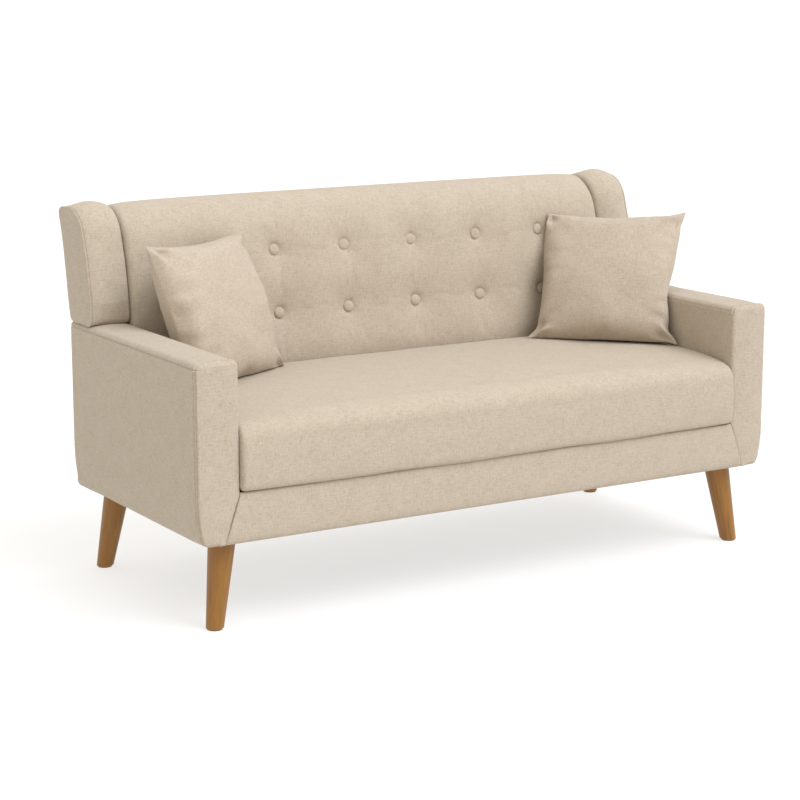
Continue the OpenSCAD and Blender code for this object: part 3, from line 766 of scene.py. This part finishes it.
def make_back():
    """The leaning back, whose front takes its tufting from the simulated cloth."""
    rear = [(0.575, 0.43), (0.630, 0.43), (0.6385, 0.44), (0.639, 0.566), (0.6795, 0.755),
            (0.690, 0.803)]
    rear += arc(0.682, 0.820, 0.012, 5, 80, 6) + [(0.662, 0.8375), (0.640, 0.8405)]
    fore = spline([(0.640, 0.8405), (0.622, 0.8385), (0.600, 0.8295), (0.578, 0.810),
                   (0.561, 0.785), (0.549, 0.757), (0.5395, 0.722), (0.532, 0.676),
                   (0.525, 0.630), (0.517, 0.576), (0.509, 0.52), (0.502, 0.475), (0.5, 0.452),
                   (0.505, 0.435), (0.52, 0.43), (0.575, 0.43)], 260)
    rows = [((0.5435, 0.735), 0.022, 1.2), ((0.5215, 0.590), 0.022, 1.2)]
    loop = two_sided(rear, fore, 180, rows)
    reach = ARM_IN - 0.0008
    columns = [(reach + x, 0.022, 1.2) for x, up in BUTTONS[:BUTTON_COLS]]
    place, inset = stations(-reach, reach, 0.014, 340, columns)
    pins = [(x, up, 0.010) for x, up in BUTTONS]
    cloth = taut_sheet(2 * reach, 0.385, step=0.0075, pins=pins, sink=0.0080, pull=0.45,
                       slack=0.0065, frames=26)

    def swell(y, z, s, along):
        up = (y + FRONT - FACE_FOOT.y) * math.sin(LEAN) + (z - FACE_FOOT.z) * math.cos(LEAN)
        across = unit(np.abs(along) / reach)
        ahead = unit((0.640 - y) / 0.03)
        crown = 0.0035 * (1 - across ** 7) * ahead
        high = unit((z - 0.79) / 0.04)
        top = (0.0025 * (1 - across ** 4) - 0.0075 * across ** 22) * high
        dent = blended(cloth, along, up) * ahead
        for bx, by in BUTTONS:                # the crease that each button's rim presses in
            dent -= 0.0016 * bell(np.hypot(along - bx, up - by) - BUTTON_R, 0.0035) * ahead
        rough = wander(s, along, 6.1, 0.11) * 0.0020 * ahead
        rough += wander(s, along, 9.3, 0.035) * 0.0005 * ahead
        return crown + top + dent + rough * (1 - across ** 10)

    back = padded_form("back_upholstery", loop, place, inset, place_yz, swell,
                       puff=(0.001, 0.001))
    upholster(back, ("back_cover", "back_foam"))


make_back()


def make_buttons():
    """Twelve covered buttons, each a dome whose fabric is gathered under its rim."""
    verts, faces = [], []
    around = 40
    # The dome's section, from its crown over its rim and down to the pleats beneath it.
    section = [(0.0, 1.0), (0.22, 0.985), (0.42, 0.93), (0.60, 0.83), (0.76, 0.68), (0.88, 0.48),
               (0.955, 0.24), (0.985, 0.0), (0.975, -0.22), (0.93, -0.42), (0.86, -0.60)]
    rings = len(section) - 1
    for number, (bx, up) in enumerate(BUTTONS):
        first = len(verts)
        for k, (wide, high) in enumerate(section):
            for j in range(around):
                a = 2 * math.pi * j / around
                pleat = 1 + 0.018 * math.cos(11 * a + number) * max(0.0, 0.3 - high)
                r = BUTTON_R * wide * pleat
                lift = BUTTON_SINK + BUTTON_DOME * high
                verts.append(face_point(bx + r * math.cos(a), up + r * math.sin(a), lift))
        for k in range(rings):
            for j in range(around):
                q = (k * around + j, k * around + (j + 1) % around,
                     (k + 1) * around + (j + 1) % around, (k + 1) * around + j)
                faces.append(tuple(first + i for i in q))
        faces.append(tuple(first + rings * around + j for j in range(around)))
    obj = new_object("tufting_button_covers", verts, faces)
    with editing(obj) as bm:
        bmesh.ops.remove_doubles(bm, verts=bm.verts, dist=1e-6)
        bmesh.ops.recalc_face_normals(bm, faces=bm.faces)
        layer = bm.loops.layers.uv.verify()
        for face in bm.faces:
            for loop in face.loops:
                loop[layer].uv = (loop.vert.co.x, loop.vert.co.z)
    obj.data.shade_smooth()
    stand_for(obj, upholstery, "root", ("tufting_buttons",))


make_buttons()


# ---- pillows

# Each one's middle, its turn, tilt and roll in degrees, how much wider it has been pulled, the
# seed of its folds, and how far its lower corner toward the sofa's middle is drawn out.
PILLOWS = {"left": ((-0.488, 0.425, 0.608), (26, 21, 0), 1.0, 1, 0.008),
           "right": ((0.566, 0.378, 0.609), (-45, 28.5, -1.3), 1.045, 4, 0.020)}
PILLOW_CUT = 0.376            # corner to corner along a side of each pillow's flat face
PINCH_AT = 0.77               # of the way from a side's middle to its corner


def pillow_mesh(name, n):
    """Two square sheets sewn together all round, as a thin closed bag in its own frame."""
    verts, index, faces, uvs = [], {}, [], []
    half = PILLOW_CUT / 2
    for side in (-1, 1):
        for i in range(n + 1):
            for j in range(n + 1):
                edge = i in (0, n) or j in (0, n)
                if edge and side == 1:
                    index[side, i, j] = index[-1, i, j]
                    continue
                u, v = 2 * i / n - 1, 2 * j / n - 1
                puff = ((1 - u ** 4) * (1 - v ** 4)) ** 0.6
                blunt = 1 - 0.02 * abs(u * v) ** 24
                index[side, i, j] = len(verts)
                verts.append((u * half * blunt, side * 0.012 * puff, v * half * blunt))
        for i in range(n):
            for j in range(n):
                ring = ((i, j), (i + 1, j), (i + 1, j + 1), (i, j + 1))
                if side == 1:
                    ring = ring[::-1]
                faces.append(tuple(index[(side,) + c] for c in ring))
                apart = 0.5 if side == 1 else 0
                for a, b in ring:
                    uvs.append((a / n * PILLOW_CUT + apart, b / n * PILLOW_CUT))
    return new_object(name, verts, faces, uvs)


def inflate(obj, pressure, frames):
    """Fills a closed bag by cloth simulation."""
    cloth = obj.modifiers.new("fill", "CLOTH")
    s = cloth.settings
    s.quality, s.mass, s.air_damping = 6, 0.25, 4.0
    s.tension_stiffness = s.compression_stiffness = 22
    s.shear_stiffness, s.bending_stiffness = 9, 0.35
    s.tension_damping = s.compression_damping = s.shear_damping = 8
    s.use_pressure, s.uniform_pressure_force = True, pressure
    s.effector_weights.gravity = 0
    run_cloth(obj, cloth, frames)


def pillow_sheets(n):
    """The numbers of a pillow's points, as a grid for each sheet. Both have the same border."""
    front = np.arange((n + 1) ** 2).reshape(n + 1, n + 1)
    back = front.copy()
    back[1:-1, 1:-1] = front.size + np.arange((n - 1) ** 2).reshape(n - 1, n - 1)
    return front, back


def settle(obj, n, seed, toward, ear):
    """Eases the sharp notches out of a filled bag, and lays soft folds into its corners."""
    co = points(obj)
    sheets = front, back = pillow_sheets(n)
    edges = (front[0], front[-1], front[:, 0], front[:, -1])
    border = np.concatenate([edges[0], edges[3][1:], edges[1][-2::-1], edges[2][-2:0:-1]])
    for _ in range(7):                        # blunts the corners
        co[border] = (np.roll(co[border], 1, 0) + 2 * co[border] + np.roll(co[border], -1, 0)) / 4
    for _ in range(60):                       # eases the notches out of the sides
        for edge in edges:
            line = co[edge]
            line[1:-1] = (line[:-2] + 2 * line[1:-1] + line[2:]) / 4
            co[edge] = line
    for _ in range(24):                       # and out of both sheets
        for sheet in sheets:
            g = co[sheet]
            beside = g[:-2, 1:-1] + g[2:, 1:-1] + g[1:-1, :-2] + g[1:-1, 2:]
            g[1:-1, 1:-1] = g[1:-1, 1:-1] / 2 + beside / 8
            co[sheet] = g
    across = np.linspace(-1, 1, n + 1)
    u, v = np.meshgrid(across, across, indexing="ij")
    # The top dips, and each side runs down from it and turns out into an ear at its foot.
    ear_way = unit((-across - 0.70) / 0.30)
    ear_turn = ear_way ** 2 * (3 - 2 * ear_way)
    side_dip = 1 - np.where(across < -0.4, ear_turn, np.abs((across + 0.4) / 1.4) ** 2.2)
    pinch = bell(np.abs(across) - PINCH_AT, 0.075)    # a neck beside each corner
    low_pinch = pinch * np.where(across < 0, 0.16, 0.09)
    dips = {(0, -1): 0.95 * side_dip + low_pinch, (0, 1): 0.85 * side_dip + low_pinch,
            (2, -1): 0.5 * (1 - across ** 6) + 0.12 * pinch,
            (2, 1): 0.95 * (1 - np.abs(across) ** 2.2) + 0.05 * pinch}
    for axis, low, high in ((0, edges[0], edges[1]), (2, edges[2], edges[3])):
        for sign, edge in ((-1, low), (1, high)):
            hollow = sign * (co[edge[0], axis] - co[edge, axis])
            move = sign * (hollow - hollow.max() * dips[axis, sign])
            for sheet in sheets:
                reach = unit(sign * (u if axis == 0 else v)) ** 4
                if sheet is back:             # its border has moved with the front sheet's
                    reach = np.where((np.abs(u) > 0.999) | (np.abs(v) > 0.999), 0, reach)
                co[sheet, axis] += (move[None, :] if axis == 0 else move[:, None]) * reach
    for side, sheet in zip((-1, 1), sheets):
        folds = np.zeros(u.shape)
        for number, (cu, cv) in enumerate(((-1, -1), (-1, 1), (1, -1), (1, 1))):
            du, dv = np.abs(u - cu), np.abs(v - cv)
            far, turn = np.hypot(du, dv) * PILLOW_CUT / 2, np.arctan2(dv, du)
            clear = unit(np.minimum(du, dv) / 0.16)
            spread = bell(far - 0.046, 0.022)
            folds += 0.0105 * clear * spread * np.cos(7 * turn + 2.1 * (number + seed))
        loose = (1 - np.abs(u) ** 3) * (1 - np.abs(v) ** 3)
        folds += wander(u + seed, v, 3.3, 0.45) * 0.0036 * loose
        # A crease runs in from the pinch above each lower corner.
        for way in (-1, 1):
            far_in = 1 - way * u
            fade = unit(far_in / 0.1) * np.exp(-far_in / 0.28)
            folds -= 0.0075 * bell(v + PINCH_AT - 0.55 * far_in, 0.07) * fade
        # Short wrinkles run in from the seams, mostly from the two sides.
        for a, b, deep in ((u, v, 0.0105), (v, u, 0.0062)):
            edge = np.abs(a) ** 3 * (1 - np.abs(a) ** 16) * (1 - np.abs(b) ** 8)
            folds += deep * edge * wander(a * 0.5 + seed + side, b * 2.2, 5.1, 0.26)
        co[sheet, 1] += side * folds * (1.0 if side < 0 else 0.35)      # most of them in front
    # The lower corner toward the sofa's middle is pulled out the furthest.
    drawn = toward * ear * unit(toward * u) ** 3 * unit(-v) ** 3
    co[front, 0] += drawn
    co[back[1:-1, 1:-1], 0] += drawn[1:-1, 1:-1]
    set_points(obj, co)


def make_pillow(side, sign):
    """A loose throw pillow, filled by simulation, folded, placed and pressed where it leans."""
    at, (turn, tip, roll), wider, seed, ear = PILLOWS[side]
    n = 64
    obj = pillow_mesh(f"pillow_{side}_cushion", n)
    inflate(obj, pressure=5.0, frames=24)
    settle(obj, n, seed, -sign, ear)
    spin = (Matrix.Rotation(math.radians(turn), 4, "Z")
            @ Matrix.Rotation(math.radians(-tip), 4, "X")
            @ Matrix.Rotation(math.radians(roll), 4, "Y"))
    shift = Matrix.Translation((at[0], FRONT + at[1], at[2]))
    obj.data.transform(shift @ spin @ Matrix.Diagonal((wider, 1, 1, 1)))
    fix_normals(obj)
    co = points(obj)
    slump(co, n)
    press(co, sign, n)
    set_points(obj, co)
    obj.modifiers.new("smooth", "SUBSURF").levels = 1
    bake_down(obj)
    stand_for(obj, pillow_cloth, f"pillow_{side}",
              (f"pillow_cover_{side}", f"pillow_fill_{side}"))


def sheet_places(count, n):
    """Where each of a pillow's points is on its sheet, from -1 to 1 both ways."""
    u, v = np.empty((2, count))
    across = 2 * np.arange(n + 1) / n - 1
    for sheet in pillow_sheets(n):
        u[sheet], v[sheet] = across[:, None], across
    return u, v


def slump(co, n):
    """Lets a pillow's lower edge down onto the seat, all along it."""
    u, v = sheet_places(len(co), n)
    edge = np.arange(n + 1) * (n + 1)         # the first sheet's lower border
    gap = np.maximum(co[edge, 2] - SEAT_TOP - 0.0055, 0)
    co[:, 2] -= np.interp(u, np.linspace(-1, 1, n + 1), gap) * unit(0.1 - v) ** 1.6


def press(co, sign, n):
    """Flattens a pillow where it rests on the seat, the back and the arm."""
    u, v = sheet_places(len(co), n)
    across = unit(np.abs(co[:, 0]) / (HALF_BACK - 0.0005))
    seat = SEAT_TOP + 0.0012 + 0.0045 * (1 - across ** 3.2)
    co[:, 2] = np.maximum(co[:, 2], seat)
    face = FACE_FOOT.y + (co[:, 2] - FACE_FOOT.z) * math.tan(LEAN)
    # The front sheet stays ahead of the rear one, so a pressed corner keeps its thickness.
    thick = 0.008 * unit(np.minimum(1 - np.abs(u), 1 - np.abs(v)) / 0.2) ** 0.6
    limit = face - 0.0095 - np.where(np.arange(len(co)) < (n + 1) ** 2, thick, 0)
    ahead = (co[:, 1] > limit) & (np.abs(co[:, 0]) < ARM_IN)
    co[ahead, 1] = limit[ahead]
    # Below the arm's top it keeps inside the arm; above it, it swells over it gradually.
    room = ARM_IN - 0.003 + 0.9 * np.maximum(co[:, 2] - (ARM_TOP - 0.004), 0)
    over = np.maximum(sign * co[:, 0] - (room - 0.02), 0)
    co[:, 0] -= sign * (over - 0.02 * (1 - np.exp(-over / 0.02)))


for side, sign in SIDES:
    make_pillow(side, sign)


# ---- rear panel and underside

def make_rear_panel():
    """The panel that closes the back, upright below and leaning above."""
    foot = (REAR - FRONT, 0.1905)
    outer = [foot, (REAR - FRONT, 0.569), (0.6945, 0.799)]
    inner = [(0.6945, 0.799), (0.6895, 0.7985), (0.6402, 0.569), (0.6402, 0.1905), foot]
    loop = two_sided(outer, inner, 120)
    reach = ARM_IN - 0.001
    place, inset = stations(-reach, reach, radius=0.002, count=160)

    def widen(a, b, along):
        room = unit((SEAM - b) / (SEAM - BASE))
        return a, b, along * (reach + room * (BAND_FOOT - reach - 0.0005)) / reach

    def swell(y, z, s, along):
        return wander(s, along, 12.0, 0.2) * 0.0004 * (s < s[60])

    panel = padded_form("outside_back_upholstery", loop, place, inset, place_yz, swell,
                        stretch=widen)
    upholster(panel, ("outside_back_panel",))


make_rear_panel()


def make_dust_cover():
    """Thin black cloth stapled under the frame, sagging a little, and cut out round the legs."""
    low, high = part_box("dust_cover")
    width, length = high.x - low.x, high.y - low.y
    legs = []
    for end in ("front", "rear"):
        for side in ("left", "right"):
            a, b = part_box(f"leg_{end}_{side}")
            # A leg is widest where it meets the frame, on its side nearest the sofa's middle.
            legs.append((a.x + 0.030 if side == "right" else b.x - 0.030,
                         b.y - 0.030 if end == "front" else a.y + 0.030))
    hole = 0.034                              # radius of the cut round a leg
    nx, ny = 176, 78
    verts, faces, index = [], [], {}
    for i in range(nx + 1):
        for j in range(ny + 1):
            x, y = low.x + width * i / nx, low.y + length * j / ny
            for lx, ly in legs:
                gap = math.hypot(x - lx, y - ly)
                if 1e-6 < gap < hole + 0.004:      # the cut's rim follows the hole
                    x, y = lx + (x - lx) * hole / gap, ly + (y - ly) * hole / gap
            u, v = 2 * i / nx - 1, 2 * j / ny - 1
            sag = 0.0018 * (1 - u ** 8) * (1 - v ** 4)
            sag += 0.0007 * noise.noise(Vector((x * 9, y * 9, 0.5))) * (1 - u ** 8) * (1 - v ** 8)
            index[i, j] = len(verts)
            verts.append((x, y, low.z + 0.0022 - sag))
    for i in range(nx):
        for j in range(ny):
            x, y = low.x + width * (i + 0.5) / nx, low.y + length * (j + 0.5) / ny
            if min(math.hypot(x - lx, y - ly) for lx, ly in legs) > hole - 0.002:
                faces.append((index[i, j], index[i, j + 1], index[i + 1, j + 1], index[i + 1, j]))
    sheet = new_object("dust_cover_sheet", verts, faces)
    with editing(sheet) as bm:
        bmesh.ops.delete(bm, geom=[v for v in bm.verts if not v.link_faces], context="VERTS")
        bmesh.ops.dissolve_degenerate(bm, dist=1e-5, edges=bm.edges)
    solid = sheet.modifiers.new("thickness", "SOLIDIFY")
    solid.thickness, solid.offset = 0.0005, 0
    bake_down(sheet)
    stand_for(sheet, dust_cloth, "root", ("dust_cover",))


make_dust_cover()


# ---- camera, light and floor

def make_camera():
    """A long lens, a little above the sofa and to its left."""
    cam = bpy.data.objects.new("camera", bpy.data.cameras.new("camera"))
    bpy.context.scene.collection.objects.link(cam)
    cam.data.sensor_width, cam.data.lens = 36, 99.58
    cam.location = (-2.6831, -4.3176, 1.4082)
    cam.rotation_euler = (math.radians(90 - 11.58), 0, math.radians(-31.31))
    cam.data.dof.use_dof = False
    bpy.context.scene.camera = cam


def sun(name, toward, strength, spread, colour=(1, 1, 1)):
    """A soft, far-off studio light, shining from a direction."""
    lamp = bpy.data.lights.new(name, "SUN")
    lamp.energy, lamp.angle, lamp.color = strength, math.radians(spread), colour
    obj = bpy.data.objects.new(name, lamp)
    obj.rotation_euler = Vector(toward).to_track_quat("Z", "Y").to_euler()
    bpy.context.scene.collection.objects.link(obj)


def make_floor():
    """A wide, plain, pale studio floor."""
    verts, faces = [(0, 0, 0)], []
    rings, around = (0.6, 1.2, 2.0, 3.5, 6, 12, 25, 60, 120), 48
    for r in rings:
        angles = [2 * math.pi * k / around for k in range(around)]
        verts += [(r * math.cos(a), r * math.sin(a), 0) for a in angles]
    faces += [(0, 1 + k, 1 + (k + 1) % around) for k in range(around)]
    for i in range(len(rings) - 1):
        base = 1 + i * around
        for k in range(around):
            j = (k + 1) % around
            faces.append((base + k, base + around + k, base + around + j, base + j))
    floor = new_object("floor", verts, faces)
    t = Tree("floor")
    speck = t.noise(t.add("TexCoord").outputs["Object"], 6.0, 3.0)
    tone = t.blend(t.span(speck, 0.3, 0.7), (0.27, 0.27, 0.27, 1), (0.29, 0.29, 0.29, 1))
    # A lightbox floor: it glows a little, so that shadows on it stay faint.
    dress(floor, t.finish(tone, 0.9, Specular_IOR_Level=0.1, Emission_Strength=0.70,
                          Emission_Color=(1, 0.985, 0.96, 1)))


make_camera()
make_floor()
world = bpy.data.worlds.new("studio")
bpy.context.scene.world = world
world.use_nodes = True
world.node_tree.nodes["Background"].inputs[0].default_value = (1.0, 0.98, 0.935, 1)
world.node_tree.nodes["Background"].inputs[1].default_value = 0.94
bpy.context.scene.view_settings.view_transform = "Standard"
sun("key", (0.35, -0.70, 1.0), strength=2.38, spread=40, colour=(0.93, 0.985, 1.12))
sun("crown", (0.1, 0.2, 1.0), strength=0.25, spread=60)
